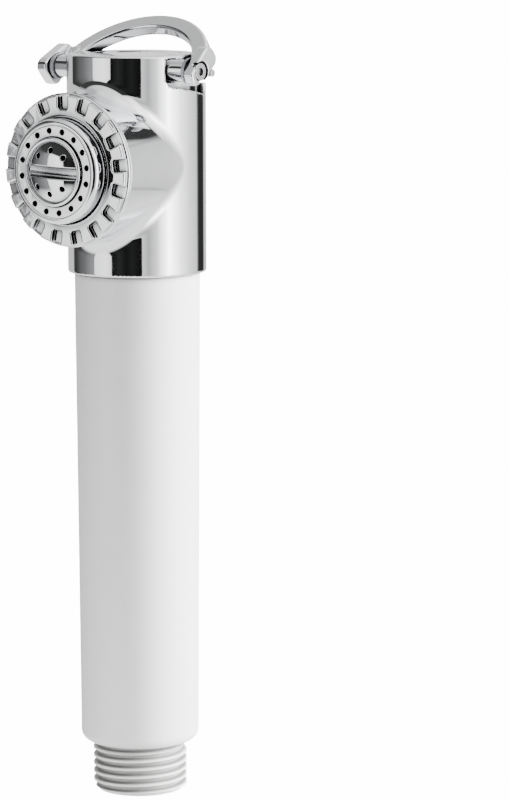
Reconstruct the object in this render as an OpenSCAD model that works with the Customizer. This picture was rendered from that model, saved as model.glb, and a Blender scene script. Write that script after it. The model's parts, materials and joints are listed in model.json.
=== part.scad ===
// Handheld shower head with an arch lever valve.
// Origin: centre of the first turn of the hose thread. +Z runs up the handle, -Y out of the nozzle.

/* [Handle] */
// Height of the handle's lower shoulder above the first turn
handle_z0 = 10.3; // [9.8:0.1:12]
// Height of the handle's upper end
handle_z1 = 116; // [112:0.5:120]
// Handle radius at the lower end
handle_r0 = 13.1; // [12.6:0.1:13.4]
// Handle radius at the upper end
handle_r1 = 13.85; // [13.5:0.05:14.2]
// Rounding of the lower shoulder
shoulder_r = 2.4; // [1.5:0.1:3]

/* [Hose thread] */
// Crest radius of the G1/2 thread
thread_r = 10.4775; // [10.4775]
// Root radius of the thread
thread_root_r = 9.35; // [9.3:0.05:9.4]
// Distance from crest to crest
thread_pitch = 1.814; // [1.814]
// Number of crests
thread_turns = 6; // [5:1:6]
// Width of a crest
crest_w = 0.4; // [0.3:0.05:0.5]
// Radius of the water inlet
inlet_r = 6.5; // [6.4:0.1:6.6]

/* [Head] */
// Height of the head's flat top
head_top = 164; // [163.5:0.5:165]
// Outer radius of the casing
casing_r = 15.3; // [15.1:0.1:15.4]
// Radius of the core that stands out of the casing
core_r = 13.5; // [13.3:0.1:13.5]
// Height of the nozzle axis
nozzle_z = 140; // [139:0.5:141]
// Height of the sloping ledge on the head's centre line
ledge_z = 161.3; // [161:0.1:161.6]
// Drop of the ledge for each millimetre towards the rear
ledge_slope = 0.42; // [0.38:0.01:0.44]

/* [Lever] */
// Position of the lever's pivot along Y
pivot_y = -4.5; // [-4.6:0.1:-4.4]
// Height of the lever's pivot
pivot_z = 160.8; // [160.7:0.1:160.9]
// Tilt of the lever above the horizontal at rest
lever_rest = 46; // [45:1:48]
// Tilt of the arch above the horizontal at rest
arch_tilt = 38.6; // [38:0.2:40]
// Thickness of the arch
arch_t = 3; // [2.8:0.1:3.1]
// Height of the arch's upper face above the pivot, across the arch
arch_face = -0.36; // [-0.4:0.02:-0.2]
// Width of the arch at its legs
arch_leg_w = 3.9; // [3.6:0.1:4]
// Width of the arch at its top
arch_bow_w = 3.8; // [3.5:0.1:4.2]
// Distance from the pivot to the outside of the arch
arch_reach = 18.4; // [18:0.1:18.6]
// Half the outside width of the arch
arch_half_w = 19.8; // [19.6:0.1:20]
// Distance between the inner faces of the lugs
lug_gap = 37.2; // [37:0.1:37.6]
// Thickness of a lug
lug_t = 2.6; // [2.4:0.1:2.8]

/* [Nozzle] */
// Radius of the notched ring
ring_r = 16.65; // [16.3:0.05:16.8]
// Number of notches round the ring
notches = 17; // [12:1:20]
// Turn of the first notch
notch_turn = 6.8; // [0:0.1:20]
// Depth of a notch
notch_depth = 1.2; // [0.9:0.1:1.3]
// Radius of the raised spray plate
plate_r = 11.4; // [11.2:0.1:11.4]
// Height of the spray plate in front of the ring
plate_rise = 3.5; // [3.2:0.1:3.6]
// Number of holes in the outer circle
outer_jets = 16; // [16]
// Turn of the first outer hole
jet_turn = 8; // [0:0.5:22]
// Radius of the outer circle of holes
outer_jet_circle = 8.85; // [8.8:0.05:9.1]
// Radius of one spray hole
jet_r = 0.6; // [0.5:0.05:0.65]
// Radius of the domed insert
insert_r = 7.5; // [7.4:0.1:7.6]
// Height of the dome
dome_h = 2.1; // [1.8:0.1:2.3]
// Width of the coin slot
slot_w = 2.4; // [2:0.1:2.6]
// Turn of the coin slot
slot_turn = -2; // [-12:1:0]

/* [Hidden] */
$fn = 72;

white_plastic = [0.93, 0.93, 0.92];
chrome = [0.80, 0.81, 0.83];
brass = [0.80, 0.66, 0.38];
steel = [0.62, 0.63, 0.65];
rubber = [0.08, 0.08, 0.09];
grey_plastic = [0.55, 0.57, 0.60];
ceramic = [0.92, 0.90, 0.86];

// Small overlap that keeps a cut clear of a face
cut = 0.1;
// Radial clearance of a part that turns or slides in another
run_fit = 0.05;
// Gap between two parts that fit but never move
fit_gap = 0.02;
// Radius of an O-ring's section
oring_r = 0.45;

// Inlet
nipple_z0 = -1;
nipple_z1 = 36;
nipple_r = 9.4;
strainer_z = 1;
strainer_t = 1.2;
strainer_rim = 1;
strainer_hole_r = 0.55;
strainer_row_gap = 2;
check_z0 = 4;
check_z1 = 21;
check_r = inlet_r - 0.2;
check_seat_r = 3.2;
check_seat_h = 4;
check_chamber_r = 4.8;
check_roof = 1.5;
check_groove_z = 15.4;
roof_hole_r = 1.3;
roof_hole_circle = 3.2;
groove_h = 1.2;
poppet_gap = 0.1;
poppet_r = 4.2;
poppet_t = 1.5;
poppet_stem_r = 1;
poppet_nose_r = 2;
poppet_nose_h = 1.2;
spring_r = 2.1;
spring_wire_r = 0.3;
spring_turns = 5;
spring_end_gap = spring_wire_r + 0.1;
limiter_z = 24.2;
limiter_t = 1.2;
limiter_r = 6.1;
limiter_bore_r = 1.8;
limiter_hole_r = 0.5;
limiter_hole_circle = 3.3;
socket_r = 6.3;
socket_z = 24;

// Handle
handle_edge_r = 0.4;
handle_bore_r = 11;

// Water tube
tube_r = 6.2;
tube_bore_r = 4.4;
tube_z0 = 25.6;
tube_z1 = 107.6;
tube_groove_r = 5.4;
tube_seal_z = [30.4, 102.4];

// Core
core_bevel = 0.8;
spigot_r = 9.9;
spigot_z0 = 98;
collar_r = 10.6;
casing_floor = 1.5;
core_z0 = handle_z1 + casing_floor;
inlet_bore_r = 3.5;
stem_y = -3.6;
plenum_z = 124.5;
plenum_r = 4.2;
seat_z = 127;
chamber_r = 5.6;
pocket_r = 8.6;
pocket_z0 = 152.5;
cap_seat_z = head_top - 1;
cap_r = 9.6;
cap_fit = 0.03;
cap_bevel = 0.2;
cap_seal_t = 0.4;
cap_seal_w = 0.9;
nozzle_thread_r = 6;
nozzle_thread_y = 7.5;

// Shoulder between a leg of the arch and its lug
shoulder_x0 = 16.2;
shoulder_v0 = 4;
shoulder_w = 2.6;

// Pivot
spindle_r = 1.6;
bush_r = 2.4;
bush_x0 = 10;
bush_x1 = 17.4;
washer_r = 2.9;
pivot_oring_x = 9.3;
pivot_oring_r = 0.36;
spindle_half = 17.5;
tenon_w = 2.2;
tenon_half = 19;
pivot_screw_r = 0.8;
pivot_screw_x0 = 13;
pivot_hole_x0 = 12;
screw_head_r = 1.95;
screw_head_h = 0.9;
counterbore_r = 2.3;
counterbore_depth = 1.2;
hex_r = 0.95;
hex_depth = 0.7;
stop_y = 3.6;
stop_z = 160;
stop_r = 0.8;
stop_fit = 0.01;
stop_x0 = 12;
stop_x1 = 18.3;
stop_bevel = 0.2;

// Crank: its ball end turns the stem by a slotted arm
crank_rest = -11.5;
crank_swing = 44;
crank_length = 5.5;
crank_x = 3.6;
crank_hub_r = 2.05;
crank_hub_half = 1.1;
crank_neck_r = 0.6;
crank_ball_r = 1.1;
arm_z0 = 154.9;
arm_t = 1.6;
arm_reach = 4.9;
arm_half_w = 2;
arm_slot_x0 = 2.1;
arm_slot_half_w = crank_ball_r + 0.2;

// Valve: two ceramic discs with a pair of ports each
disc_seal_t = 1;
disc_seal_outer = 5.3;
fixed_disc_z = seat_z + disc_seal_t;
fixed_disc_t = 2;
moving_disc_z = fixed_disc_z + fixed_disc_t;
moving_disc_t = 1.8;
disc_r = 5.1;
disc_port_r0 = 1.6;
disc_port_r1 = 4;
disc_port_span = 50;
flange_z = moving_disc_z + moving_disc_t;
flange_t = 1.6;
flange_r = 4.8;
drive_peg_r = 0.7;
drive_peg_h = 1;
stem_r = 2.2;
gland_z0 = 146.4;
gland_z1 = 153.7;
gland_hex_r = 4.4;
gland_groove_z = 0.6;

// Casing
barrel_r = 15;
flare_r = 15.9;
barrel_end = 23;
flare_start = 13;
barrel_bore_r = 13.2;
casing_bore_r = core_r + 0.1;
casing_bevel = 0.5;
window_y0 = -7.1;
window_y1 = 8.8;
window_z0 = 157.6;
window_z1 = 154.6;
window_x0 = 9;
window_corner = 1.6;

// Nozzle: distances are measured forwards from the handle's axis
seal_t = 0.7;
ring_back = barrel_end + seal_t;
ring_front = 25.9;
ring_bevel = 0.4;
notch_r0 = 12.9;
notch_share = 0.46;
plate_front = ring_front + plate_rise;
plate_bevel = 1.2;
plate_bevel_h = 0.7;
body_back = 17;
body_plate_t = 2;
body_r = 13;
body_bore_r = 11.5;
body_front = 23.5;
body_nipple_r = 5.9;
body_nipple_bore = 4;
body_nipple_back = 8;
distributor_back = 20.6;
distributor_t = 2.4;
distributor_r = 11.4;
distributor_post_h = 6.6;
screw_head_t = 1.38;
screw_flange_r = 2.8;
screw_length = 6;
screw_slot_w = 0.7;
screw_slot_depth = 0.7;
face_oring_r = 0.34;
face_oring_circle = 7.1;
insert_t = 3.4;
port_r = 1.4;
pocket_count = 4;
pocket_span = 76;
pocket_turn = jet_turn + 180 / pocket_count - 180 / outer_jets;
pocket_r0 = 8.1;
pocket_w = 1.8;
pocket_depth = 3;
mist_port_r = 0.9;
mist_port_circle = 5;
screw_pitch_r = 1.6;
insert_bore_r = 3.2;
insert_jets = 6;
insert_jet_circle = 4.7;
insert_jet_angles = [45, 90, 135, 225, 270, 315];
insert_shoulder_r = 6.3;
insert_shoulder_h = 0.8;

// Sphere radius of a cap of radius r and height h
function cap_sphere_r(r, h) = (r * r + h * h) / (2 * h);
// Points of an arc round a centre, from angle a0 to a1 in n steps
function arc(c, r, a0, a1, n) = [
    for (i = [0 : n]) c + r * [cos(a0 + (a1 - a0) * i / n), sin(a0 + (a1 - a0) * i / n)]
];

// Angle of the stem's arm when the crank stands at angle a from straight down
function arm_angle(a) = atan2(pivot_y + crank_length * sin(a) - stem_y, crank_x);

// A ring of round section: r is the radius of its middle line
module oring(r, section = oring_r) {
    rotate_extrude() translate([r, 0]) circle(section, $fn = 24);
}

// A tube from z0 to z1
module tube(outer, inner, z0, z1) {
    difference() {
        translate([0, 0, z0]) cylinder(r = outer, h = z1 - z0);
        translate([0, 0, z0 - cut]) cylinder(r = inner, h = z1 - z0 + 2 * cut);
    }
}

// A groove for an O-ring, cut into a shaft
module groove(outer, bottom, z) {
    tube(outer + cut, bottom, z, z + groove_h);
}

// Puts its children on the nozzle axis, with their +Z pointing forwards
module on_nozzle() {
    translate([0, 0, nozzle_z]) rotate([90, 0, 0]) children();
}

// Puts its children on the pivot axis on both sides, with their +Z pointing outwards
module on_pivot() {
    for (side = [-1, 1])
        translate([0, pivot_y, pivot_z]) rotate([0, side * 90, 0]) children();
}

module inlet_nipple() color(white_plastic) {
    difference() {
        union() {
            translate([0, 0, nipple_z0]) cylinder(r = thread_root_r, h = handle_z0 - nipple_z0);
            translate([0, 0, handle_z0 - cut]) cylinder(r = nipple_r, h = nipple_z1 - handle_z0 + cut);
            for (i = [0 : thread_turns - 1])
                translate([0, 0, i * thread_pitch]) thread_crest();
        }
        translate([0, 0, nipple_z0 - cut]) cylinder(r = inlet_r, h = check_z1 + 1 - nipple_z0 + cut);
        translate([0, 0, check_z1]) cylinder(r = tube_bore_r + 0.6, h = nipple_z1);
        translate([0, 0, socket_z]) cylinder(r = socket_r, h = nipple_z1);
    }
}

// One turn of the thread: a flat crest between two flanks
module thread_crest() {
    flank = (thread_r - thread_root_r) * 0.5;
    rotate_extrude() polygon([
        [thread_root_r - 0.2, -flank],
        [thread_root_r, -flank],
        [thread_r, 0],
        [thread_r, crest_w],
        [thread_root_r, crest_w + flank],
        [thread_root_r - 0.2, crest_w + flank]
    ]);
}

module inlet_strainer() color(steel) {
    difference() {
        translate([0, 0, strainer_z]) cylinder(r = inlet_r - 0.1, h = strainer_t + strainer_rim);
        translate([0, 0, strainer_z + strainer_t]) cylinder(r = inlet_r - 1, h = strainer_rim + cut);
        translate([0, 0, strainer_z - cut]) strainer_holes();
    }
}

module strainer_holes() {
    cylinder(r = strainer_hole_r, h = strainer_t + 2 * cut);
    for (row = [1 : 2])
        for (i = [0 : 6 * row - 1])
            rotate(i * 60 / row) translate([row * strainer_row_gap, 0, 0])
                cylinder(r = strainer_hole_r, h = strainer_t + 2 * cut);
}

module check_valve_body() color(grey_plastic) {
    difference() {
        translate([0, 0, check_z0]) cylinder(r = check_r, h = check_z1 - check_z0);
        translate([0, 0, check_z0 - cut]) cylinder(r = check_seat_r, h = check_seat_h + 2 * cut);
        translate([0, 0, check_z0 + check_seat_h])
            cylinder(r = check_chamber_r, h = check_z1 - check_roof - check_z0 - check_seat_h);
        translate([0, 0, check_z1 - check_roof - cut]) check_roof_holes();
        groove(check_r, check_r - 0.75, check_groove_z);
    }
}

// Guide for the poppet's stem and four water passages round it
module check_roof_holes() {
    cylinder(r = poppet_stem_r + run_fit, h = check_roof + 2 * cut);
    for (i = [0 : 3])
        rotate(i * 90) translate([roof_hole_circle, 0, 0]) cylinder(r = roof_hole_r, h = check_roof + 2 * cut);
}

module check_valve_poppet() color(white_plastic) {
    base = check_z0 + check_seat_h + poppet_gap;
    translate([0, 0, base]) cylinder(r = poppet_r, h = poppet_t);
    translate([0, 0, base + poppet_t - cut]) cylinder(r = poppet_stem_r, h = check_z1 - base - poppet_t);
    translate([0, 0, base - poppet_nose_h])
        cylinder(r1 = poppet_nose_r, r2 = check_seat_r - 0.4, h = poppet_nose_h + cut);
}

// Sweeps a round wire along a helix, as one closed tube
module coil(r, wire, z0, z1, turns) {
    sides = 8;
    steps = 12;
    count = turns * steps;
    points = [
        for (i = [0 : count])
            for (j = [0 : sides - 1])
                let (a = 360 * i / steps, b = 360 * j / sides, d = r + wire * cos(b))
                    [d * cos(a), d * sin(a), z0 + (z1 - z0) * i / count + wire * sin(b)]
    ];
    walls = [
        for (i = [0 : count - 1])
            for (j = [0 : sides - 1])
                let (k = (j + 1) % sides)
                    [i * sides + j, (i + 1) * sides + j, (i + 1) * sides + k, i * sides + k]
    ];
    first = [for (j = [0 : sides - 1]) j];
    last = [for (j = [sides - 1 : -1 : 0]) count * sides + j];
    polyhedron(points = points, faces = concat(walls, [first, last]), convexity = 8);
}

module check_valve_spring() color(steel) {
    base = check_z0 + check_seat_h + poppet_gap + poppet_t;
    coil(spring_r, spring_wire_r, base + spring_end_gap, check_z1 - check_roof - spring_end_gap, spring_turns);
}

module check_valve_oring() color(rubber) {
    translate([0, 0, check_groove_z + groove_h / 2]) oring(check_r - 0.3);
}

module flow_limiter() color(grey_plastic) {
    difference() {
        translate([0, 0, limiter_z]) cylinder(r = limiter_r, h = limiter_t);
        translate([0, 0, limiter_z - cut]) cylinder(r = limiter_bore_r, h = limiter_t + 2 * cut);
        for (i = [0 : 5])
            rotate(i * 60) translate([limiter_hole_circle, 0, limiter_z - cut])
                cylinder(r = limiter_hole_r, h = limiter_t + 2 * cut);
    }
}

module handle_shell() color(white_plastic) {
    difference() {
        rotate_extrude() polygon(concat(
            [[0, handle_z0]],
            arc([handle_r0 - shoulder_r, handle_z0 + shoulder_r], shoulder_r, -90, 0, 8),
            arc([handle_r1 - handle_edge_r, handle_z1 - handle_edge_r], handle_edge_r, 0, 90, 3),
            [[0, handle_z1]]
        ));
        translate([0, 0, handle_z0 - cut]) cylinder(r = nipple_r + 0.05, h = nipple_z1 + 2 - handle_z0);
        translate([0, 0, nipple_z1]) cylinder(r = handle_bore_r, h = spigot_z0 - nipple_z1);
        translate([0, 0, spigot_z0 - 1]) cylinder(r = spigot_r + 0.05, h = handle_z1);
    }
}

module water_tube() color(brass) {
    difference() {
        tube(tube_r, tube_bore_r, tube_z0, tube_z1);
        for (z = tube_seal_z) groove(tube_r, tube_groove_r, z);
    }
}

module tube_orings() color(rubber) {
    for (z = tube_seal_z) translate([0, 0, z + groove_h / 2]) oring(tube_groove_r + oring_r);
}

module valve_body() color(chrome) {
    difference() {
        union() {
            translate([0, 0, spigot_z0]) cylinder(r = spigot_r, h = handle_z1 - spigot_z0 + cut);
            translate([0, 0, handle_z1]) cylinder(r = collar_r, h = casing_floor + cut);
            translate([0, 0, core_z0]) cylinder(r = core_r, h = head_top - core_bevel - core_z0);
            translate([0, 0, head_top - core_bevel])
                cylinder(r1 = core_r, r2 = core_r - core_bevel, h = core_bevel);
        }
        valve_water_way();
        translate([0, 0, pocket_z0]) cylinder(r = pocket_r, h = head_top);
        translate([0, 0, cap_seat_z]) cylinder(r = cap_r, h = head_top);
        on_pivot() cylinder(r = bush_r, h = core_r + 1);
        translate([0, stop_y, stop_z]) rotate([0, 90, 0]) cylinder(r = stop_r + stop_fit, h = 2 * core_r + 2, center = true);
    }
}

// Everything that the water runs through inside the core
module valve_water_way() {
    translate([0, 0, spigot_z0 - cut]) cylinder(r = socket_r, h = tube_z1 + 0.4 - spigot_z0 + cut);
    translate([0, 0, spigot_z0]) cylinder(r = inlet_bore_r, h = plenum_z + 1.5 - spigot_z0);
    translate([0, stem_y, plenum_z]) cylinder(r = plenum_r, h = seat_z - plenum_z + cut);
    translate([0, stem_y, seat_z]) cylinder(r = chamber_r, h = pocket_z0 - seat_z + cut);
    on_nozzle() translate([0, 0, nozzle_thread_y]) cylinder(r = nozzle_thread_r, h = core_r);
}

module head_casing() color(chrome) {
    difference() {
        union() {
            translate([0, 0, handle_z1]) cylinder(r1 = casing_r - casing_bevel, r2 = casing_r, h = casing_bevel);
            translate([0, 0, handle_z1 + casing_bevel])
                cylinder(r = casing_r, h = head_top - handle_z1 - 2 * casing_bevel);
            translate([0, 0, head_top - casing_bevel])
                cylinder(r1 = casing_r, r2 = casing_r - casing_bevel, h = casing_bevel);
            barrel();
        }
        translate([0, 0, core_z0]) cylinder(r = casing_bore_r, h = head_top);
        translate([0, 0, handle_z1 - cut]) cylinder(r = collar_r + 0.1, h = casing_floor + 1);
        on_nozzle() cylinder(r = barrel_bore_r, h = barrel_end + 1);
        rear_cut();
        for (side = [0, 1]) mirror([side, 0, 0]) side_window();
    }
}

// The barrel widens in a curve from the casing to its front edge
module barrel() {
    on_nozzle() rotate_extrude() polygon(concat(
        [[0, 0], [barrel_r, 0]],
        [for (i = [0 : 6]) [
            barrel_r + (flare_r - barrel_r) * (1 - cos(i * 15)),
            flare_start + (barrel_end - 1 - flare_start) * i / 6
        ]],
        [[flare_r, barrel_end], [0, barrel_end]]
    ));
}

// Above the ledge, the casing is cut away on the rear side
module rear_cut() {
    front_y = (ledge_z - head_top) / ledge_slope;
    back_y = casing_r + 1;
    translate([-casing_r - 1, 0, 0]) rotate([90, 0, 90]) linear_extrude(height = 2 * casing_r + 2) polygon([
        [front_y, ledge_z - ledge_slope * front_y],
        [back_y, ledge_z - ledge_slope * back_y],
        [back_y, head_top + 1],
        [front_y, head_top + 1]
    ]);
}

// Open window round the pivot, with rounded lower corners
module side_window() {
    c = window_corner;
    translate([window_x0, 0, 0]) rotate([90, 0, 90]) linear_extrude(height = casing_r) polygon(concat(
        arc([window_y0 + c, window_z0 + c], c, 180, 265, 5),
        arc([window_y1 - c, window_z1 + c], c, 275, 360, 5),
        [[window_y1, head_top + 1], [window_y0, head_top + 1]]
    ));
}

module stop_pins() color(steel) {
    for (side = [-1, 1])
        translate([0, stop_y, stop_z]) rotate([0, side * 90, 0]) {
            translate([0, 0, stop_x0]) cylinder(r = stop_r, h = stop_x1 - stop_x0 - stop_bevel);
            translate([0, 0, stop_x1 - stop_bevel]) cylinder(r1 = stop_r, r2 = stop_r - stop_bevel, h = stop_bevel);
        }
}

// Turning stem: a flange that drives the upper disc below, a slotted arm above
module valve_stem() color(brass) {
    translate([0, stem_y, 0]) rotate(arm_angle(crank_rest)) difference() {
        union() {
            translate([0, 0, flange_z + fit_gap]) cylinder(r = flange_r, h = flange_t);
            translate([0, 0, flange_z + fit_gap]) cylinder(r = stem_r, h = arm_z0 + arm_t - flange_z - fit_gap);
            translate([0, -arm_half_w, arm_z0]) cube([arm_reach, 2 * arm_half_w, arm_t]);
            drive_pegs(drive_peg_r - fit_gap, drive_peg_h - 0.1);
        }
        translate([arm_slot_x0, -arm_slot_half_w, arm_z0 - cut])
            cube([arm_reach, 2 * arm_slot_half_w, arm_t + 2 * cut]);
    }
}

// Two pegs between the stem's flange and the upper disc
module drive_pegs(r, depth) {
    for (side = [-1, 1])
        translate([side * (disc_port_r0 + disc_port_r1) / 2, 0, flange_z - depth])
            cylinder(r = r, h = depth + fit_gap + cut);
}

// The pair of ports through a disc
module disc_ports(z, t) {
    for (i = [0, 1])
        translate([0, 0, z - cut]) rotate(i * 180 - disc_port_span / 2)
            rotate_extrude(angle = disc_port_span) translate([disc_port_r0, 0])
                square([disc_port_r1 - disc_port_r0, t + 2 * cut]);
}

// Upper disc: its ports lie over the lower ones when the lever is up
module moving_disc() color(ceramic) {
    rest = arm_angle(crank_rest);
    translate([0, stem_y, 0]) difference() {
        translate([0, 0, moving_disc_z + fit_gap]) cylinder(r = disc_r, h = moving_disc_t - fit_gap);
        rotate(rest - arm_angle(crank_rest + crank_swing)) disc_ports(moving_disc_z, moving_disc_t);
        rotate(rest) drive_pegs(drive_peg_r, drive_peg_h);
    }
}

module fixed_disc() color(ceramic) {
    translate([0, stem_y, 0]) difference() {
        translate([0, 0, fixed_disc_z]) cylinder(r = disc_r, h = fixed_disc_t);
        disc_ports(fixed_disc_z, fixed_disc_t);
    }
}

module disc_seal() color(rubber) {
    translate([0, stem_y, 0]) tube(disc_seal_outer, plenum_r, seat_z, fixed_disc_z - fit_gap);
}

module stem_packing() color(rubber) {
    translate([0, stem_y, gland_z0 + gland_groove_z + groove_h / 2]) oring(stem_r + oring_r + fit_gap);
}

module gland_nut() color(brass) {
    translate([0, stem_y, 0]) difference() {
        union() {
            translate([0, 0, gland_z0]) cylinder(r = chamber_r - fit_gap, h = pocket_z0 - gland_z0);
            translate([0, 0, gland_z0]) cylinder(r = gland_hex_r, h = gland_z1 - gland_z0, $fn = 6);
        }
        translate([0, 0, gland_z0 - cut]) cylinder(r = stem_r + run_fit, h = gland_z1 - gland_z0 + 2 * cut);
        translate([0, 0, gland_z0 + gland_groove_z]) cylinder(r = stem_r + 2 * oring_r + 3 * fit_gap, h = groove_h);
    }
}

module spindle() color(steel) {
    difference() {
        union() {
            translate([0, pivot_y, pivot_z]) rotate([0, 90, 0])
                cylinder(r = spindle_r, h = 2 * spindle_half, center = true);
            translate([0, pivot_y, pivot_z]) rotate([lever_rest, 0, 0])
                cube([2 * tenon_half, tenon_w, tenon_w], center = true);
        }
        on_pivot() translate([0, 0, pivot_hole_x0]) cylinder(r = pivot_screw_r, h = tenon_half - pivot_hole_x0 + 1);
    }
}

// Hub on the spindle with a finger that ends in a ball
module drive_crank() color(steel) {
    translate([crank_x, pivot_y, pivot_z]) rotate([crank_rest, 0, 0]) difference() {
        union() {
            rotate([0, 90, 0]) cylinder(r = crank_hub_r, h = 2 * crank_hub_half, center = true);
            translate([0, 0, -crank_length]) cylinder(r = crank_neck_r, h = crank_length);
            translate([0, 0, -crank_length]) sphere(crank_ball_r);
        }
        rotate([0, 90, 0]) cylinder(r = spindle_r, h = 4 * crank_hub_half, center = true);
    }
}

module spindle_orings() color(rubber) {
    on_pivot() translate([0, 0, pivot_oring_x]) oring(spindle_r + fit_gap + pivot_oring_r, pivot_oring_r);
}

module spindle_bushes() color(chrome) {
    on_pivot() tube(bush_r - 0.01, spindle_r + run_fit, bush_x0, bush_x1);
}

module pivot_washers() color(grey_plastic) {
    on_pivot() tube(washer_r, spindle_r + run_fit, bush_x1 + run_fit, lug_gap / 2 - run_fit);
}

module top_cap() color(chrome) {
    rim_r = cap_r - cap_fit;
    translate([0, 0, cap_seat_z + fit_gap]) cylinder(r = rim_r, h = head_top - cap_seat_z - cap_bevel - fit_gap);
    translate([0, 0, head_top - cap_bevel]) cylinder(r1 = rim_r, r2 = rim_r - cap_bevel, h = cap_bevel);
}

module top_cap_oring() color(rubber) {
    difference() {
        translate([0, 0, cap_seat_z - cap_seal_t]) cylinder(r = pocket_r - fit_gap, h = cap_seal_t);
        translate([0, 0, cap_seat_z - 2 * cap_seal_t]) cylinder(r = pocket_r - cap_seal_w, h = 3 * cap_seal_t);
        on_pivot() cylinder(r = bush_r + 0.3, h = 2 * pocket_r);
    }
}

// Outline of the arch, seen along its thickness, in the lever's own plane
function arch_outline(n) = concat(
    [for (i = [0 : n]) let (a = 16 + 148 * i / n)
        [arch_half_w * cos(a), arch_reach * sin(a)]],
    [for (i = [n : -1 : 0]) let (a = 26 + 128 * i / n)
        [(arch_half_w - arch_leg_w) * cos(a), (arch_reach - arch_bow_w) * sin(a)]]
);

// Outline of a lug in the lever's plane: x runs along the lever, y across it
module lug_shape(side) {
    if (side > 0)
        hull() {
            translate([-2.5, 1.7]) circle(0.7, $fn = 32);
            translate([-2.6, 0.2]) circle(1.2, $fn = 32);
            translate([0.2, -0.7]) circle(1.8, $fn = 32);
            translate([4.2, 0.3]) circle(2, $fn = 32);
            translate([4.4, -0.9]) circle(1.7, $fn = 32);
        }
    else
        hull() {
            translate([4.6, -1.2]) circle(2.2, $fn = 32);
            translate([-1.4, 1.4]) circle(1.9, $fn = 32);
            translate([-1.6, -1.6]) circle(1.9, $fn = 32);
        }
}

module lever_arch() color(chrome) {
    translate([0, pivot_y, pivot_z]) rotate([lever_rest, 0, 0]) difference() {
        union() {
            rotate([arch_tilt - lever_rest, 0, 0]) translate([0, 0, arch_face - arch_t]) {
                linear_extrude(height = arch_t) polygon(arch_outline(36));
                for (side = [0, 1]) mirror([side, 0, 0]) arch_shoulder();
            }
            for (side = [-1, 1]) lever_lug(side);
        }
        for (side = [-1, 1]) {
            cube([3 * tenon_half, tenon_w + 2 * fit_gap, tenon_w + 2 * fit_gap], center = true);
            rotate([0, side * 90, 0]) translate([0, 0, lug_gap / 2 + lug_t - counterbore_depth])
                cylinder(r = counterbore_r, h = 3);
        }
    }
}

module lever_lug(side) {
    x0 = side > 0 ? lug_gap / 2 : -lug_gap / 2 - lug_t;
    translate([x0, 0, 0]) rotate([90, 0, 90]) linear_extrude(height = lug_t) lug_shape(side);
}

// Joins the end of a leg to its lug
module arch_shoulder() {
    translate([shoulder_x0, shoulder_v0, 0]) cube([lug_gap / 2 + lug_t / 2 - shoulder_x0, shoulder_w, arch_t]);
}

module lever_screws() color(steel) {
    on_pivot() difference() {
        union() {
            translate([0, 0, lug_gap / 2 + lug_t - counterbore_depth + fit_gap])
                cylinder(r = screw_head_r, h = screw_head_h);
            translate([0, 0, pivot_screw_x0])
                cylinder(r = pivot_screw_r - fit_gap, h = lug_gap / 2 + lug_t - counterbore_depth - pivot_screw_x0 + cut);
        }
        translate([0, 0, lug_gap / 2 + lug_t - counterbore_depth + screw_head_h - hex_depth])
            cylinder(r = hex_r, h = 2, $fn = 6);
    }
}

module seal_ring() color(rubber) {
    on_nozzle() tube(flare_r - 0.2, body_r + run_fit, barrel_end + fit_gap, ring_back - 0.1);
}

module nozzle_body() color(brass) {
    on_nozzle() difference() {
        union() {
            translate([0, 0, body_nipple_back]) cylinder(r = body_nipple_r, h = body_back - body_nipple_back + cut);
            translate([0, 0, body_back]) cylinder(r = body_r, h = body_front - body_back);
        }
        translate([0, 0, body_nipple_back - cut]) cylinder(r = body_nipple_bore, h = 15);
        translate([0, 0, body_back + body_plate_t]) cylinder(r = body_bore_r, h = 10);
    }
}

module nozzle_oring() color(rubber) {
    on_nozzle() translate([0, 0, core_r + 0.6]) oring(body_nipple_r + 0.5);
}

module distributor() color(grey_plastic) {
    on_nozzle() difference() {
        union() {
            translate([0, 0, distributor_back]) cylinder(r = distributor_r, h = distributor_t);
            translate([0, 0, distributor_back]) cylinder(r = insert_bore_r, h = distributor_post_h);
        }
        for (i = [0 : pocket_count - 1])
            rotate(pocket_turn + i * 360 / pocket_count) translate([outer_jet_circle, 0, distributor_back - cut])
                cylinder(r = port_r, h = distributor_t + 2 * cut);
        for (i = [0 : insert_jets - 1])
            rotate(i * 360 / insert_jets) translate([mist_port_circle, 0, distributor_back - cut])
                cylinder(r = mist_port_r, h = distributor_t + 2 * cut);
        translate([0, 0, distributor_back - cut]) cylinder(r = screw_pitch_r, h = distributor_post_h + 2 * cut);
    }
}

module distributor_screw() color(steel) {
    head_back = distributor_back - fit_gap - screw_head_t;
    on_nozzle() difference() {
        union() {
            translate([0, 0, head_back]) cylinder(r = screw_flange_r, h = screw_head_t);
            translate([0, 0, head_back + screw_head_t - cut]) cylinder(r = screw_pitch_r - fit_gap, h = screw_length);
        }
        translate([-screw_slot_w / 2, -screw_flange_r - cut, head_back - cut])
            cube([screw_slot_w, 2 * (screw_flange_r + cut), screw_slot_depth + cut]);
    }
}

module face_oring() color(rubber) {
    on_nozzle() translate([0, 0, distributor_back + distributor_t + face_oring_r + fit_gap])
        oring(face_oring_circle, face_oring_r);
}

module spray_plate() color(chrome) {
    back = distributor_back + distributor_t + 0.1;
    on_nozzle() difference() {
        union() {
            translate([0, 0, back]) cylinder(r = plate_r, h = plate_front - plate_bevel_h - back);
            translate([0, 0, plate_front - plate_bevel_h])
                cylinder(r1 = plate_r, r2 = plate_r - plate_bevel, h = plate_bevel_h);
        }
        translate([0, 0, back - cut]) cylinder(r = insert_r + run_fit, h = 12);
        for (i = [0 : outer_jets - 1])
            rotate(jet_turn + i * 360 / outer_jets) translate([outer_jet_circle, 0, back - cut])
                cylinder(r = jet_r, h = 12, $fn = 24);
        translate([0, 0, back - cut]) spray_pockets();
    }
}

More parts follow.
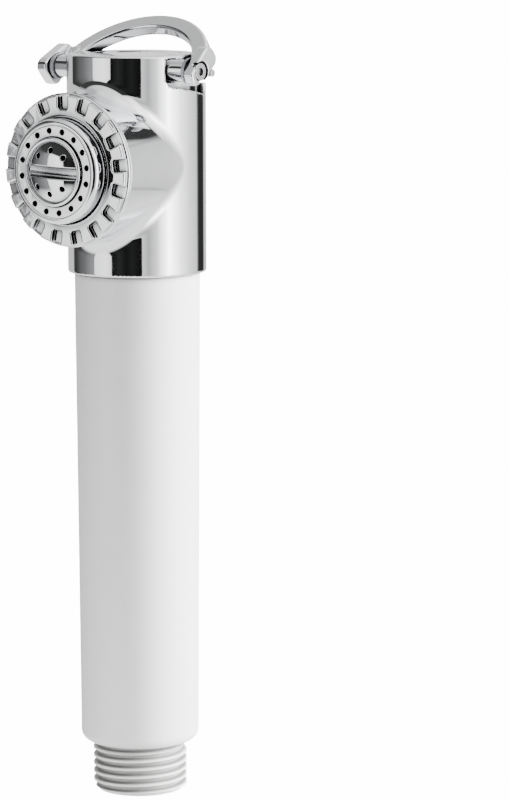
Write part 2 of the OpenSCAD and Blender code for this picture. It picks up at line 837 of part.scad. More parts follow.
// Pockets behind the outer holes: in one position each lies over a port of the distributor
module spray_pockets() {
    for (i = [0 : pocket_count - 1])
        rotate(pocket_turn + i * 360 / pocket_count - pocket_span / 2)
            rotate_extrude(angle = pocket_span) translate([pocket_r0, 0]) square([pocket_w, pocket_depth]);
}

module selector_ring() color(chrome) {
    on_nozzle() difference() {
        union() {
            translate([0, 0, ring_back]) cylinder(r = ring_r, h = ring_front - ring_bevel - ring_back);
            translate([0, 0, ring_front - ring_bevel])
                cylinder(r1 = ring_r, r2 = ring_r - ring_bevel, h = ring_bevel);
        }
        translate([0, 0, ring_back - cut]) cylinder(r = plate_r + 0.02, h = 4);
        for (i = [0 : notches - 1])
            rotate(notch_turn + i * 360 / notches) ring_notch();
    }
}

// One notch: it is open at the front and at the rim
module ring_notch() {
    a = 180 / notches * notch_share;
    w = 2 * notch_r0 * sin(a);
    translate([notch_r0, -w / 2, ring_front - notch_depth]) cube([ring_r, w, notch_depth + 1]);
}

module centre_insert() color(chrome) {
    sphere_r = cap_sphere_r(insert_shoulder_r, dome_h - insert_shoulder_h);
    dome_top = plate_front + dome_h;
    on_nozzle() rotate(slot_turn) difference() {
        union() {
            translate([0, 0, plate_front - insert_t]) cylinder(r = insert_r, h = insert_t);
            translate([0, 0, plate_front]) cylinder(r1 = insert_r, r2 = insert_shoulder_r, h = insert_shoulder_h);
            intersection() {
                translate([0, 0, dome_top - sphere_r]) sphere(sphere_r);
                translate([0, 0, plate_front + insert_shoulder_h - cut]) cylinder(r = insert_shoulder_r, h = 6);
            }
        }
        translate([-insert_r - 1, -slot_w / 2, plate_front - 0.2]) cube([2 * insert_r + 2, slot_w, 6]);
        translate([0, 0, plate_front - 4]) cylinder(r = insert_bore_r + 0.05, h = 2.2);
        for (a = insert_jet_angles)
            rotate(a) translate([insert_jet_circle, 0, plate_front - 4]) cylinder(r = jet_r, h = 9, $fn = 24);
    }
}

module insert_oring() color(rubber) {
    on_nozzle() translate([0, 0, plate_front - insert_t - face_oring_r - fit_gap])
        oring(insert_bore_r + face_oring_r + 0.06, face_oring_r);
}

inlet_nipple();
inlet_strainer();
check_valve_body();
check_valve_poppet();
check_valve_spring();
check_valve_oring();
flow_limiter();
handle_shell();
water_tube();
tube_orings();
valve_body();
head_casing();
stop_pins();
valve_stem();
moving_disc();
fixed_disc();
disc_seal();
stem_packing();
gland_nut();
spindle();
drive_crank();
spindle_orings();
spindle_bushes();
pivot_washers();
top_cap();
top_cap_oring();
lever_arch();
lever_screws();
seal_ring();
nozzle_body();
nozzle_oring();
distributor();
distributor_screw();
face_oring();
spray_plate();
selector_ring();
centre_insert();
insert_oring();
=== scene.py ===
import json
import math

import bpy
import numpy as np
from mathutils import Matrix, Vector


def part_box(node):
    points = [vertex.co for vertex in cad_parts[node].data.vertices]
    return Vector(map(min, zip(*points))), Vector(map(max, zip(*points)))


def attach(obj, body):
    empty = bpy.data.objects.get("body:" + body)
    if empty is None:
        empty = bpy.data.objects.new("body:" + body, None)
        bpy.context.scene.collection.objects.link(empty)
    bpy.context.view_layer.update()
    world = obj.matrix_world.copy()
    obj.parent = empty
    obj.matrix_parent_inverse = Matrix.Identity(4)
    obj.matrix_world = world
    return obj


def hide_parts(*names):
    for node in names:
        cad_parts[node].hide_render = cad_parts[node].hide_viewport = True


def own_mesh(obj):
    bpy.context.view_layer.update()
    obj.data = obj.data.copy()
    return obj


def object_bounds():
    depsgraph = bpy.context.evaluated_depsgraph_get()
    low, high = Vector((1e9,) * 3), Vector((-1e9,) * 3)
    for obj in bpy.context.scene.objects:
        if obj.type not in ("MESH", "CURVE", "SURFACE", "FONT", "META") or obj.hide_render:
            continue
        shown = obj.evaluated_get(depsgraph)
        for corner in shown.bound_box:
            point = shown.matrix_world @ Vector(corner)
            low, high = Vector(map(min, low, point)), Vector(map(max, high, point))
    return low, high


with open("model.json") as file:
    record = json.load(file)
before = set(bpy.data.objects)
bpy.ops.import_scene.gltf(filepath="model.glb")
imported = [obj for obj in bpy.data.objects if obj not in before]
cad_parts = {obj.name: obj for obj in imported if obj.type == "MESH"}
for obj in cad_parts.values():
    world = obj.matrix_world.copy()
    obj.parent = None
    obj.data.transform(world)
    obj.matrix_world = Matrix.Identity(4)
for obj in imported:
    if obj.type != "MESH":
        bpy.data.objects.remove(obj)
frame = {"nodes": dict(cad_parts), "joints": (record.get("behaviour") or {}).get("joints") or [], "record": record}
cad_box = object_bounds()
nodes = frame["nodes"]

MM = 0.001

# ---------------------------------------------------------------- camera

CAMERA_AZIMUTH = 37.1
CAMERA_TURN = -1.756
CAMERA_ROLL = 0.092
CAMERA_DIP = 8.5
CAMERA_DISTANCE = 0.85
CAMERA_HEIGHT = 0.214
SENSOR = 36
LENS = 174.1


def make_camera():
    """The camera stands at its azimuth round the handle and looks a little to the side and down."""
    data = bpy.data.cameras.new("camera")
    data.sensor_width = SENSOR
    data.lens = LENS
    camera = bpy.data.objects.new("camera", data)
    azimuth = math.radians(CAMERA_AZIMUTH)
    camera.location = (CAMERA_DISTANCE * math.sin(azimuth), -CAMERA_DISTANCE * math.cos(azimuth),
                       CAMERA_HEIGHT)
    camera.rotation_euler = (math.radians(90 - CAMERA_DIP), math.radians(CAMERA_ROLL),
                             math.radians(CAMERA_AZIMUTH + CAMERA_TURN))
    bpy.context.scene.collection.objects.link(camera)
    bpy.context.scene.camera = camera


# ---------------------------------------------------------------- studio

FLOOR_Z = cad_box[0][2]
# Light that the chrome mirrors at eye level: degrees to the right of the camera, brightness
WALL = ((-180, 1.3), (-156, 0.9), (-130, 0.86), (-129, 0.05), (-119, 0.06), (-107, 0.15), (-97, 0.19),
        (-88, 0.28), (-80, 0.38), (-75.5, 0.34), (-75, 1.75), (-70, 1.95), (-55, 2.3), (-43.5, 1.8),
        (-42.5, 0.006), (-30, 0.03), (-18, 0.012), (-8, 0.022), (7.5, 0.006), (8.5, 1.15), (19, 0.7),
        (33, 1.5), (47, 4.6), (54, 8), (62, 5.6), (77, 3), (96, 1.7), (107, 1.35), (116, 1.15), (120, 0.2),
        (124, 0.035), (142, 0.035), (150, 1), (180, 1.3))
# The same a little above and below eye level, where only the dark panel on the right ends
SHORT_PANEL = ((118, 1.2), (150, 1.3))
SHORT_PANEL_TOP = 11
# The same above the panels
RAIL = ((-180, 1.2), (-140, 1), (-122, 0.06), (6, 0.04), (12, 2), (60, 4), (112, 1.6), (120, 0.05),
        (134, 0.06), (137, 3.2), (160, 1.6), (180, 1.2))
# The same high above the camera
CEILING = ((-180, 1.3), (-150, 0.7), (-110, 0.7), (-85, 1.1), (-40, 1.4), (0, 1.6), (60, 2.6), (120, 2),
           (180, 1.3))
# The same straight above and far below
ZENITH, BELOW = 1.6, 1.9
# Heights in degrees over which one of them turns into the next
BELOW_TO_WALL, WALL_TO_RAIL, RAIL_TO_CEILING, CEILING_TO_ZENITH = (-34, -20), (22, 26), (42, 47), (66, 80)
DOME_RADIUS, DOME_Z = 0.8, 0.1
BACKDROP = 15
WORLD_LIGHT = 0.54
LIT_POINT = Vector((0, 0, 0.09))


def grid(rows, count, rows_close, count_closes):
    """
    Quads over rows of count points each. rows_close joins the last row to the first, and count_closes
    joins the ends of each row.
    """
    faces = []
    for i in range(rows if rows_close else rows - 1):
        k = (i + 1) % rows
        for j in range(count if count_closes else count - 1):
            n = (j + 1) % count
            faces.append((i * count + j, k * count + j, k * count + n, i * count + n))
    return faces


def flat_glow(name, level):
    """A surface that only glows; level is a number or the name of a mesh attribute."""
    material = bpy.data.materials.new(name)
    material.use_nodes = True
    tree = material.node_tree
    tree.nodes.remove(tree.nodes["Principled BSDF"])
    glow = tree.nodes.new("ShaderNodeEmission")
    if isinstance(level, str):
        source = tree.nodes.new("ShaderNodeAttribute")
        source.attribute_name = level
        tree.links.new(source.outputs["Fac"], glow.inputs["Strength"])
    else:
        glow.inputs["Strength"].default_value = level
    tree.links.new(glow.outputs[0], tree.nodes["Material Output"].inputs["Surface"])
    return material


def stage_mesh(name, points, faces, material):
    mesh = bpy.data.meshes.new(name)
    mesh.from_pydata(points, [], faces)
    mesh.shade_smooth()
    mesh.materials.append(material)
    thing = bpy.data.objects.new(name, mesh)
    bpy.context.scene.collection.objects.link(thing)
    return thing


def make_cove():
    """Pale floor that curves up into a backdrop all round. Only the camera sees it."""
    profile = [(0.001, 0), (2, 0)] + [(2 + 1.5 * math.sin(a), 1.5 - 1.5 * math.cos(a))
                                      for a in np.radians(range(10, 91, 10))] + [(3.5, 9)]
    turns = 72
    points = []
    for i in range(turns):
        a = 2 * math.pi * i / turns
        points += [(r * math.cos(a), r * math.sin(a), FLOOR_Z + z) for r, z in profile]
    faces = grid(turns, len(profile), True, False)
    cove = stage_mesh("cove", points, faces, flat_glow("backdrop", BACKDROP))
    cove.visible_diffuse = False
    cove.visible_glossy = False
    cove.visible_shadow = False


def wall_light(side, height):
    """Brightness of the reflected studio, side degrees right of the camera and height degrees up."""
    def blend(lower, upper, heights):
        share = np.clip((height - heights[0]) / (heights[1] - heights[0]), 0, 1)
        return lower + (upper - lower) * share

    wall, rail, ceiling = (np.interp(side, *zip(*stops)) for stops in (WALL, RAIL, CEILING))
    beside = (side > SHORT_PANEL[0][0]) & (side < SHORT_PANEL[1][0]) & (np.abs(height) > SHORT_PANEL_TOP)
    wall = np.where(beside, np.interp(side, *zip(*SHORT_PANEL)), wall)
    level = blend(wall, rail, WALL_TO_RAIL)
    level = blend(level, ceiling, RAIL_TO_CEILING)
    level = blend(level, ZENITH, CEILING_TO_ZENITH)
    return blend(BELOW, level, BELOW_TO_WALL)


def make_reflections():
    """A round studio that only the shiny surfaces see."""
    side = np.arange(-180, 180, 0.5)
    height = np.arange(-88, 89, 2.0)
    rows = len(height)
    azimuth = np.radians(CAMERA_AZIMUTH + side)[:, None]
    lift = np.radians(height)[None, :]
    points = np.stack([DOME_RADIUS * np.sin(azimuth) * np.cos(lift),
                       -DOME_RADIUS * np.cos(azimuth) * np.cos(lift),
                       DOME_Z + DOME_RADIUS * np.sin(lift) + 0 * azimuth], axis=-1).reshape(-1, 3)
    faces = grid(len(side), rows, True, False)
    faces.append(tuple(i * rows for i in range(len(side))))
    faces.append(tuple(i * rows + rows - 1 for i in range(len(side))))
    dome = stage_mesh("reflections", points.tolist(), faces, flat_glow("studio wall", "glow"))
    level = wall_light(*np.meshgrid(side, height, indexing="ij"))
    dome.data.attributes.new("glow", "FLOAT", "POINT").data.foreach_set("value", level.ravel())
    dome.visible_camera = False
    dome.visible_diffuse = False
    dome.visible_shadow = False


def make_light(name, side, height, distance, size, power):
    """A soft round light, side degrees right of the camera and height degrees up."""
    data = bpy.data.lights.new(name, "AREA")
    data.shape = "DISK"
    data.size = size
    data.energy = power
    light = bpy.data.objects.new(name, data)
    a, lift = math.radians(CAMERA_AZIMUTH + side), math.radians(height)
    away = Vector((math.sin(a) * math.cos(lift), -math.cos(a) * math.cos(lift), math.sin(lift)))
    light.location = LIT_POINT + away * distance
    light.rotation_euler = away.to_track_quat("Z", "Y").to_euler()
    light.visible_glossy = False
    light.visible_camera = False
    bpy.context.scene.collection.objects.link(light)


def make_studio():
    world = bpy.data.worlds.new("studio")
    world.use_nodes = True
    world.node_tree.nodes["Background"].inputs["Color"].default_value = (1, 1, 1, 1)
    world.node_tree.nodes["Background"].inputs["Strength"].default_value = WORLD_LIGHT
    bpy.context.scene.world = world
    make_cove()
    make_reflections()
    make_light("key", side=88, height=8, distance=0.9, size=0.65, power=66)
    make_light("bounce", side=-30, height=-35, distance=0.28, size=0.2, power=0.7)


# ---------------------------------------------------------------- shapes from distance fields

SLOPE_STEP = 0.02
NEWTON_ROUNDS = 4


def fillet(a, b, radius, cosine=0.0):
    """
    Union of two fields. A ball of that radius rolls along the corner, and cosine is that of the angle
    between the fields' slopes.
    """
    u, v = radius - a, radius - b
    slack = np.maximum(1 - cosine * cosine, 1e-6)
    inside = (u > cosine * v) & (v > cosine * u) & (u > 0) & (v > 0)
    reach = np.sqrt(np.maximum(u * u + v * v - 2 * cosine * u * v, 0) / slack)
    return np.where(inside, radius - reach, np.minimum(a, b))


def keep(a, b, radius):
    """Intersection of two fields with a rounded edge."""
    return -fillet(-a, -b, radius)


def cut(a, b, radius):
    """Field a without field b, with a rounded edge."""
    return -fillet(-a, b, radius)


def slopes(field, points):
    """Gradient of the field at each point."""
    rows = []
    for axis in range(3):
        step = np.zeros(3)
        step[axis] = SLOPE_STEP
        rows.append((field(*(points + step).T) - field(*(points - step).T)) / (2 * SLOPE_STEP))
    return np.stack(rows, axis=1)


def surface_net(field, start, end, step):
    """Points and quads of the surface where the field is zero, between two corners in millimetres."""
    axes = [np.arange(a - 1.5 * step, b + 2.5 * step, step) for a, b in zip(start, end)]
    value = field(*np.meshgrid(*axes, indexing="ij", sparse=False))
    origin = np.array([axis[0] for axis in axes])
    cells = np.array(value.shape) - 1
    strides = np.array([cells[1] * cells[2], cells[2], 1])
    crossings, owners, quads = [], [], []
    for axis in range(3):
        below = np.take(value, range(value.shape[axis] - 1), axis)
        above = np.take(value, range(1, value.shape[axis]), axis)
        crossed = (below < 0) != (above < 0)
        index = np.argwhere(crossed)
        first, second = below[crossed], above[crossed]
        place = index.astype(float)
        place[:, axis] += first / (first - second)
        corners = []
        for back_1, back_2 in ((0, 0), (1, 0), (1, 1), (0, 1)):
            cell = index.copy()
            cell[:, (axis + 1) % 3] -= back_1
            cell[:, (axis + 2) % 3] -= back_2
            corners.append(cell @ strides)
            crossings.append(place)
            owners.append(corners[-1])
        ring = np.stack(corners, axis=1)
        quads.append(np.where((first < 0)[:, None], ring, ring[:, ::-1]))
    owners = np.concatenate(owners)
    used, vertex = np.unique(owners, return_inverse=True)
    crossings = np.concatenate(crossings)
    count = np.bincount(vertex)
    points = np.stack([np.bincount(vertex, crossings[:, i]) / count for i in range(3)], axis=1)
    return origin + step * points, np.searchsorted(used, np.concatenate(quads))


def link_mesh(name, points, faces, normals=None):
    """A new object with smooth faces. points are in metres."""
    mesh = bpy.data.meshes.new(name)
    mesh.from_pydata(points.tolist(), [], faces if isinstance(faces, list) else faces.tolist())
    mesh.shade_smooth()
    if normals is not None:
        mesh.normals_split_custom_set_from_vertices(normals.tolist())
    thing = bpy.data.objects.new(name, mesh)
    bpy.context.scene.collection.objects.link(thing)
    return thing


def settle(points, normals, place):
    """Points and normals taken from a piece's own frame to the shared one."""
    if place is None:
        return points, normals
    return points @ place[:3, :3].T + place[:3, 3], normals @ place[:3, :3].T


def grow(name, field, start, end, step, place=None):
    """A piece whose skin is the field's zero surface; place turns its own frame into the shared one."""
    points, quads = surface_net(field, start, end, step)
    for _ in range(NEWTON_ROUNDS):
        slope = slopes(field, points)
        length = np.maximum((slope * slope).sum(axis=1), 0.05)
        shift = np.clip(field(*points.T) / length, -step, step)
        points = points - shift[:, None] * slope
    normals = slopes(field, points)
    normals /= np.maximum(np.linalg.norm(normals, axis=1), 1e-9)[:, None]
    points, normals = settle(points, normals, place)
    return link_mesh(name, points * MM, quads, normals)


# ---------------------------------------------------------------- turned shapes

def outline(*corners):
    """
    Points and outward normals of a closed outline. Its corners are (radius, height, rounding) in
    millimetres, anticlockwise.
    """
    points, normals = [], []
    for i, (r, z, rounding) in enumerate(corners):
        here = np.array([r, z], float)
        before = np.array(corners[i - 1][:2], float) - here
        after = np.array(corners[(i + 1) % len(corners)][:2], float) - here
        before, after = before / np.linalg.norm(before), after / np.linalg.norm(after)
        n0 = np.array([-before[1], before[0]])
        n1 = np.array([after[1], -after[0]])
        turn = math.atan2(n0[0] * n1[1] - n0[1] * n1[0], n0 @ n1)
        radius = max(rounding, 0.02)
        centre = here + (before + after) / np.linalg.norm(before + after) * radius / math.cos(turn / 2)
        steps = 2 if rounding < 0.1 else 6 if rounding < 1 else 14
        for j in range(steps + 1):
            a = math.atan2(n0[1], n0[0]) + turn * j / steps
            normal = np.array([math.cos(a), math.sin(a)])
            points.append(centre + normal * radius * (1 if turn > 0 else -1))
            normals.append(normal)
    return np.array(points), np.array(normals)


def turn_shape(name, shape, segments=180, place=None):
    """A turned piece: the outline swept round +Z, then put in place."""
    rz, normal = shape
    count = len(rz)
    angles = np.arange(segments) * 2 * math.pi / segments
    spin = np.stack([np.cos(angles), np.sin(angles)], axis=1)
    points, normals = (
        np.concatenate([spin[:, None, :] * row[None, :, :1],
                        np.broadcast_to(row[None, :, 1:], (segments, count, 1))], axis=2).reshape(-1, 3)
        for row in (rz, normal))
    points, normals = settle(points, normals, place)
    return link_mesh(name, points * MM, grid(segments, count, True, True), normals)


# ---------------------------------------------------------------- places and sizes, in millimetres

JOINTS = {joint["name"]: joint for joint in frame["joints"]}


def lowest(node, axis):
    """Lowest coordinate of a CAD node along x, y or z, given as 0, 1 or 2."""
    return round(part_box(node)[0][axis] / MM, 2)


def highest(node, axis):
    """Highest coordinate of a CAD node along x, y or z."""
    return round(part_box(node)[1][axis] / MM, 2)


PIVOT = np.round(np.array(JOINTS["lever_swing"]["pos_m"]) / MM, 3)
LEVER_REST = math.radians(46)
NOZZLE_Z = round(JOINTS["selector_turn"]["pos_m"][2] / MM, 3)
HEAD_TOP = highest("head_casing", 2)
HANDLE_TOP = highest("handle_shell", 2)
CASING_R = highest("head_casing", 1)
CORE_R = highest("valve_body", 0)
BARREL_END = -lowest("head_casing", 1)
LUG_X0, LUG_X1 = highest("pivot_washers", 0) + 0.05, highest("lever_arch", 0)
RING_R = highest("selector_ring", 0)
RING_BACK, RING_FRONT = -highest("selector_ring", 1), -lowest("selector_ring", 1)
PLATE_R = highest("spray_plate", 0) - 0.02
PLATE_BACK, PLATE_FRONT = -highest("spray_plate", 1), -lowest("spray_plate", 1)
INSERT_R, INSERT_BACK = highest("centre_insert", 0) - 0.02, -highest("centre_insert", 1)

# Frames of their own: on the nozzle z points forwards, and in the lever y runs along it and z across it
ON_NOZZLE = np.array([[1, 0, 0, 0], [0, 0, -1, 0], [0, 1, 0, NOZZLE_Z], [0, 0, 0, 1]], float)
IN_LEVER = np.eye(4)
IN_LEVER[:3, 3] = PIVOT
IN_LEVER[1:3, 1:3] = [[math.cos(LEVER_REST), -math.sin(LEVER_REST)],
                      [math.sin(LEVER_REST), math.cos(LEVER_REST)]]


def band(value, start, end):
    """Field of the slab between two values."""
    return np.abs(value - (start + end) / 2) - (end - start) / 2


# ---------------------------------------------------------------- head

BARREL_R = 15
FLARE, FLARE_START, FLARE_POWER = 0.9, 6, 1.5
DRUM_EDGE, BARREL_EDGE, CUT_EDGE = 0.45, 0.4, 0.3
BARREL_FILLET = 4.5
CASING_BORE, NOZZLE_BORE = 10.7, 13.2
CORE_GAP, CORE_BOTTOM, COLLAR_BOTTOM = 0.1, 117.5, 98
LEDGE_Z, LEDGE_SLOPE = 161.3, 0.42
WINDOW_FRONT, WINDOW_BACK, WINDOW_FLOOR, WINDOW_EDGE = -7.1, 8.8, 9, 1.6
SILL_Z, SILL_DROP, SILL_COSINE = 157.6, 3, 0.983
STEM_Y = round(JOINTS["valve_turn"]["pos_m"][1] / MM, 3)
SPINDLE_BORE = 2.4
STOP_Y, STOP_Z, STOP_R = 3.6, 160, 0.8
BUSH_R, WASHER_R, PIVOT_BORE = 2.39, 2.9, 1.65
BUSH_START, WASHER_START = 10, 17.45


def casing_field(x, y, z):
    """Drum and flared barrel, cut off at the rear by a slanted ledge, with a window round each pivot."""
    rho = np.hypot(x, y)
    q = np.hypot(x, z - NOZZLE_Z)
    forward = -y
    share = np.clip((forward - FLARE_START) / (BARREL_END - FLARE_START), 0, 1)
    wall = keep(rho - CASING_R, band(z, HANDLE_TOP, HEAD_TOP), DRUM_EDGE)
    barrel = keep(q - BARREL_R - FLARE * share ** FLARE_POWER, band(forward, 0, BARREL_END), BARREL_EDGE)
    lean = x * x / np.maximum(rho * q, 1)
    body = fillet(wall, barrel, BARREL_FILLET, np.clip(lean, 0, 0.995))
    body = cut(body, np.maximum(rho - CORE_R - CORE_GAP, CORE_BOTTOM - z), CUT_EDGE)
    body = cut(body, rho - CASING_BORE, 0.1)
    body = cut(body, np.maximum(q - NOZZLE_BORE, -forward), CUT_EDGE)
    ledge = (LEDGE_Z - LEDGE_SLOPE * y - z) / math.hypot(1, LEDGE_SLOPE)
    body = keep(body, -ledge, CUT_EDGE)
    sill = (SILL_Z - SILL_DROP * (y - WINDOW_FRONT) / (WINDOW_BACK - WINDOW_FRONT) - z) * SILL_COSINE
    window = keep(keep(sill, WINDOW_FRONT - y, WINDOW_EDGE), y - WINDOW_BACK, WINDOW_EDGE)
    return cut(body, np.maximum(window, WINDOW_FLOOR - np.abs(x)), CUT_EDGE)


def core_field(x, y, z):
    """Valve body: a drum with a collar and a neck, bored for the tube, the valve, the cap and the spindle."""
    rho = np.hypot(x, y)
    q = np.hypot(x, z - NOZZLE_Z)
    stem = np.hypot(x, y - STEM_Y)
    body = keep(rho - CORE_R, band(z, CORE_BOTTOM, HEAD_TOP), 0.7)
    body = np.minimum(body, keep(rho - 10.6, band(z, HANDLE_TOP, CORE_BOTTOM + 0.5), 0.1))
    body = np.minimum(body, keep(rho - 9.9, band(z, COLLAR_BOTTOM, HANDLE_TOP + 1), 0.2))
    tube, waterway = np.maximum(rho - 6.3, z - 108), np.maximum(rho - 3.5, z - 126)
    port, valve_room = np.maximum(stem - 4.2, band(z, 124.5, 128)), np.maximum(stem - 5.6, band(z, 127, 160))
    top_room, cap_seat = np.maximum(rho - 8.6, 152.5 - z), np.maximum(rho - 9.6, HEAD_TOP - 1 - z)
    spindle = np.hypot(y - PIVOT[1], z - PIVOT[2]) - SPINDLE_BORE
    pins = np.hypot(y - STOP_Y, z - STOP_Z) - STOP_R - 0.01
    outlet = np.maximum(q - 6, y + 7.5)
    for hole in (tube, waterway, port, valve_room, top_room, cap_seat, spindle, pins, outlet):
        body = cut(body, hole, 0.15)
    return body


def bushes_field(x, y, z):
    r = np.hypot(y - PIVOT[1], z - PIVOT[2])
    tube = keep(r - BUSH_R, PIVOT_BORE - r, 0.15)
    return keep(tube, band(np.abs(x), BUSH_START, highest("spindle_bushes", 0)), 0.2)


def washers_field(x, y, z):
    r = np.hypot(y - PIVOT[1], z - PIVOT[2])
    tube = keep(r - WASHER_R, PIVOT_BORE - r, 0.15)
    return keep(tube, band(np.abs(x), WASHER_START, highest("pivot_washers", 0)), 0.25)


def stops_field(x, y, z):
    pin = np.hypot(y - STOP_Y, z - STOP_Z) - STOP_R
    return keep(pin, band(np.abs(x), 12, highest("stop_pins", 0)), 0.25)


# ---------------------------------------------------------------- lever, in its own frame

def oval(x, y, a, b):
    """Distance field of an ellipse, close to true near its edge."""
    near = np.hypot(x / a, y / b)
    return near * (near - 1) / np.maximum(np.hypot(x / a ** 2, y / b ** 2), 0.001)


def hull(y, z, *circles):
    """Field of the shape stretched round circles of (y, z, radius)."""
    best = np.full(np.shape(y), -100.0)
    for a in np.arange(120) * math.pi / 60:
        reach = max(cy * math.cos(a) + cz * math.sin(a) + r for cy, cz, r in circles)
        best = np.maximum(best, y * math.cos(a) + z * math.sin(a) - reach)
    return best


ARCH_DROP = math.radians(7.4)
ARCH_FACE, ARCH_T = -0.36, 3
BOW_OUTSIDE, BOW_INSIDE, BOW_START = (19.8, 18.4), (15.9, 14.6), 5
SHOULDER_SIDE, SHOULDER_ALONG = (16.2, 19.9), (4, 6.6)
RIGHT_LUG = ((-2.5, 1.7, 0.7), (-2.6, 0.2, 1.2), (0.2, -0.7, 1.8), (4.2, 0.3, 2), (4.4, -0.9, 1.7))
LEFT_LUG = ((4.6, -1.2, 2.2), (-1.4, 1.4, 1.9), (-1.6, -1.6, 1.9))
RECESS_R, RECESS_FLOOR = 2.3, 20
SQUARE_HALF = 1.12
SCREW_R, SCREW_EDGE, SHANK_R = 1.95, 0.22, 0.78
SOCKET_HALF, SOCKET_FLOOR = 0.82, 20.22


def arch_field(x, y, z):
    """Flat bow over the head, a shoulder at each end of it, and two lugs with a square hole and a recess."""
    side = np.abs(x)
    along = y * math.cos(ARCH_DROP) - z * math.sin(ARCH_DROP)
    slab = band(z * math.cos(ARCH_DROP) + y * math.sin(ARCH_DROP), ARCH_FACE - ARCH_T, ARCH_FACE)
    bow = keep(oval(x, along, *BOW_OUTSIDE), -oval(x, along, *BOW_INSIDE), 0.3)
    bow = keep(keep(bow, slab, 0.7), BOW_START - along, 0.5)
    shoulder = keep(keep(band(side, *SHOULDER_SIDE), band(along, *SHOULDER_ALONG), 0.5), slab, 0.5)
    lug = np.where(x > 0, hull(y, z, *RIGHT_LUG), hull(y, z, *LEFT_LUG))
    lug = keep(lug, band(side, LUG_X0, LUG_X1), 0.4)
    body = fillet(fillet(bow, shoulder, 0.8), lug, 0.5)
    body = cut(body, np.maximum(np.hypot(y, z) - RECESS_R, RECESS_FLOOR - side), 0.18)
    return cut(body, np.maximum(np.maximum(np.abs(y), np.abs(z)) - SQUARE_HALF, 18 - side), 0.05)


def screws_field(x, y, z):
    """Flat heads with a hexagon socket, on plain shanks."""
    side, r = np.abs(x), np.hypot(y, z)
    head = keep(r - SCREW_R, band(side, RECESS_FLOOR + 0.02, highest("lever_screws", 0)), SCREW_EDGE)
    corners = np.arange(6) * math.pi / 3
    socket = np.max([y * math.cos(a) + z * math.sin(a) for a in corners], axis=0) - SOCKET_HALF
    head = cut(head, np.maximum(socket, SOCKET_FLOOR - side), 0.07)
    return np.minimum(head, keep(r - SHANK_R, band(side, 13, 20.4), 0.1))


# ---------------------------------------------------------------- nozzle, in its own frame

NOTCHES, NOTCH_TURN = 17, 6.8
NOTCH_HALF, NOTCH_ROOT, NOTCH_FLOOR = 1.3, 13.1, 24.75
TEETH_INSET, TEETH_BACK = 0.45, 24.2
RING_BORE, RING_FILLET = 11.42, 0.75
JETS, JET_TURN, JET_CIRCLE, JET_R = 16, 8, 8.85, 0.6
PLATE_EDGE, PLATE_BORE, GROOVE_CIRCLE, GROOVE_R = 1.15, 7.56, 10, 0.16
RIM_CIRCLE, RIM_Z, RIM_R = 7, 29.85, 0.45
DOME_R, DOME_CENTRE = 15.9, 15.6
SLOT_TURN = math.radians(-2)
SLOT_HALF, SLOT_FLOOR, SLOT_END, SLOT_LIP = 1.2, 29.5, 6.6, 0.42
INNER_JETS, INNER_CIRCLE = (45, 90, 135, 225, 270, 315), 4.7


def fold(x, y, count, turn):
    """Coordinates in one sector of a pattern round the axis: outwards, and sideways from its middle."""
    part = 2 * math.pi / count
    angle = np.arctan2(y, x) - math.radians(turn)
    angle = (angle + part / 2) % part - part / 2
    radius = np.hypot(x, y)
    return radius * np.cos(angle), radius * np.sin(angle)


def ring_field(x, y, z):
    """Flat ring with a bead at the back and notches all round."""
    q = np.hypot(x, y)
    bead = keep(q - RING_R, band(z, RING_BACK, NOTCH_FLOOR), 0.4)
    teeth = keep(q - RING_R + TEETH_INSET, band(z, TEETH_BACK, RING_FRONT), 0.35)
    out, aside = fold(x, y, NOTCHES, NOTCH_TURN)
    notch = keep(keep(np.abs(aside) - NOTCH_HALF, NOTCH_ROOT - out, 0.6), NOTCH_FLOOR - z, 0.25)
    body = fillet(cut(teeth, notch, 0.38), bead, 0.12)
    return keep(fillet(body, q - RING_BORE, RING_FILLET), RING_BORE - q, 0.03)


def plate_field(x, y, z):
    """Round plate with a rounded rim, a fine groove and a circle of jets."""
    q = np.hypot(x, y)
    body = keep(q - PLATE_R, band(z, PLATE_BACK, PLATE_FRONT), PLATE_EDGE)
    body = cut(body, q - PLATE_BORE, 0.12)
    body = cut(body, np.hypot(q - GROOVE_CIRCLE, z - PLATE_FRONT - 0.05) - GROOVE_R, 0.06)
    out, aside = fold(x, y, JETS, JET_TURN)
    return cut(body, np.hypot(out - JET_CIRCLE, aside) - JET_R, 0.14)


def insert_field(x, y, z):
    """Domed insert in a raised rim, with a coin slot and three jets on each side of it."""
    along = x * math.cos(SLOT_TURN) + y * math.sin(SLOT_TURN)
    across = y * math.cos(SLOT_TURN) - x * math.sin(SLOT_TURN)
    q = np.hypot(x, y)
    body = keep(q - INSERT_R, band(z, INSERT_BACK, 33), 0.1)
    cone = (z - 29.55) * 0.83 + (q - INSERT_R) * 0.55
    body = keep(body, cone, 0.3)
    dome = np.sqrt(q * q + (z - DOME_CENTRE) ** 2) - DOME_R
    body = fillet(keep(body, dome, 0.8), np.hypot(q - RIM_CIRCLE, z - RIM_Z) - RIM_R, 0.12)
    slot = keep(np.abs(across) - SLOT_HALF, SLOT_FLOOR - z - 0.25 * across * across, 0.7)
    body = cut(body, keep(slot, q - SLOT_END, 0.3), SLOT_LIP)
    body = cut(body, np.maximum(q - 3.25, z - 27.6), 0.05)
    for a in np.radians(INNER_JETS):
        jet = np.hypot(along - INNER_CIRCLE * math.cos(a), across - INNER_CIRCLE * math.sin(a)) - JET_R
        body = cut(body, jet, 0.12)
    return body


# ---------------------------------------------------------------- thread and spring

